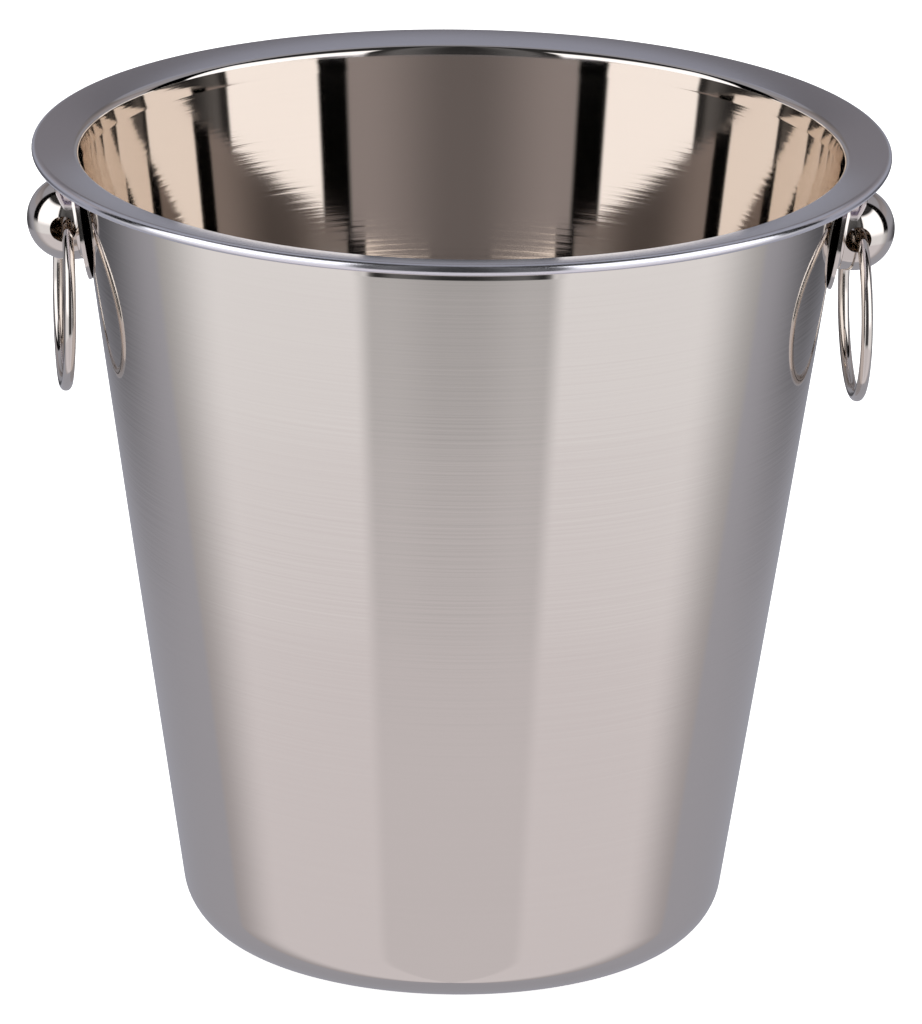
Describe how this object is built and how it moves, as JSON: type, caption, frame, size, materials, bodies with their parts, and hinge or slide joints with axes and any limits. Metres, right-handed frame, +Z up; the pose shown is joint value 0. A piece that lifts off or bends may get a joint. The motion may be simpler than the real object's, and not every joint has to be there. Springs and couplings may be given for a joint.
{
  "type": "champagne bucket",
  "caption": "Tapered sheet-steel champagne bucket with a flanged rolled rim, domed side knobs and loose ring handles.",
  "frame": {"origin": "middle of the flat base, on the surface the bucket stands on", "axes": "+Z up along the bucket's axis; the knobs lie on the X axis, the right one at +X; -Y faces the viewer"},
  "size_m": [0.2224, 0.22, 0.2108],
  "materials": {
    "bucket_steel": "stainless steel, polished, with faint turning lines round the body",
    "knob_steel": "stainless steel, polished bright",
    "ring_steel": "stainless steel wire, polished bright"
  },
  "bodies": {
    "bucket": {"bucket_shell": "bucket_steel", "left_knob_shell": "knob_steel", "left_knob_back_plate": "knob_steel", "right_knob_shell": "knob_steel", "right_knob_back_plate": "knob_steel"},
    "left_ring": {"left_ring_handle": "ring_steel"},
    "right_ring": {"right_ring_handle": "ring_steel"}
  },
  "joints": [
    {"name": "left_ring_swing", "type": "hinge", "parent": "bucket", "child": "left_ring", "pos_m": [-0.10151, 0, 0.18941], "axis": [0, 1, 0], "range_deg": [-12.5, 149]},
    {"name": "right_ring_swing", "type": "hinge", "parent": "bucket", "child": "right_ring", "pos_m": [0.10151, 0, 0.18941], "axis": [0, -1, 0], "range_deg": [-12.5, 149]}
  ]
}
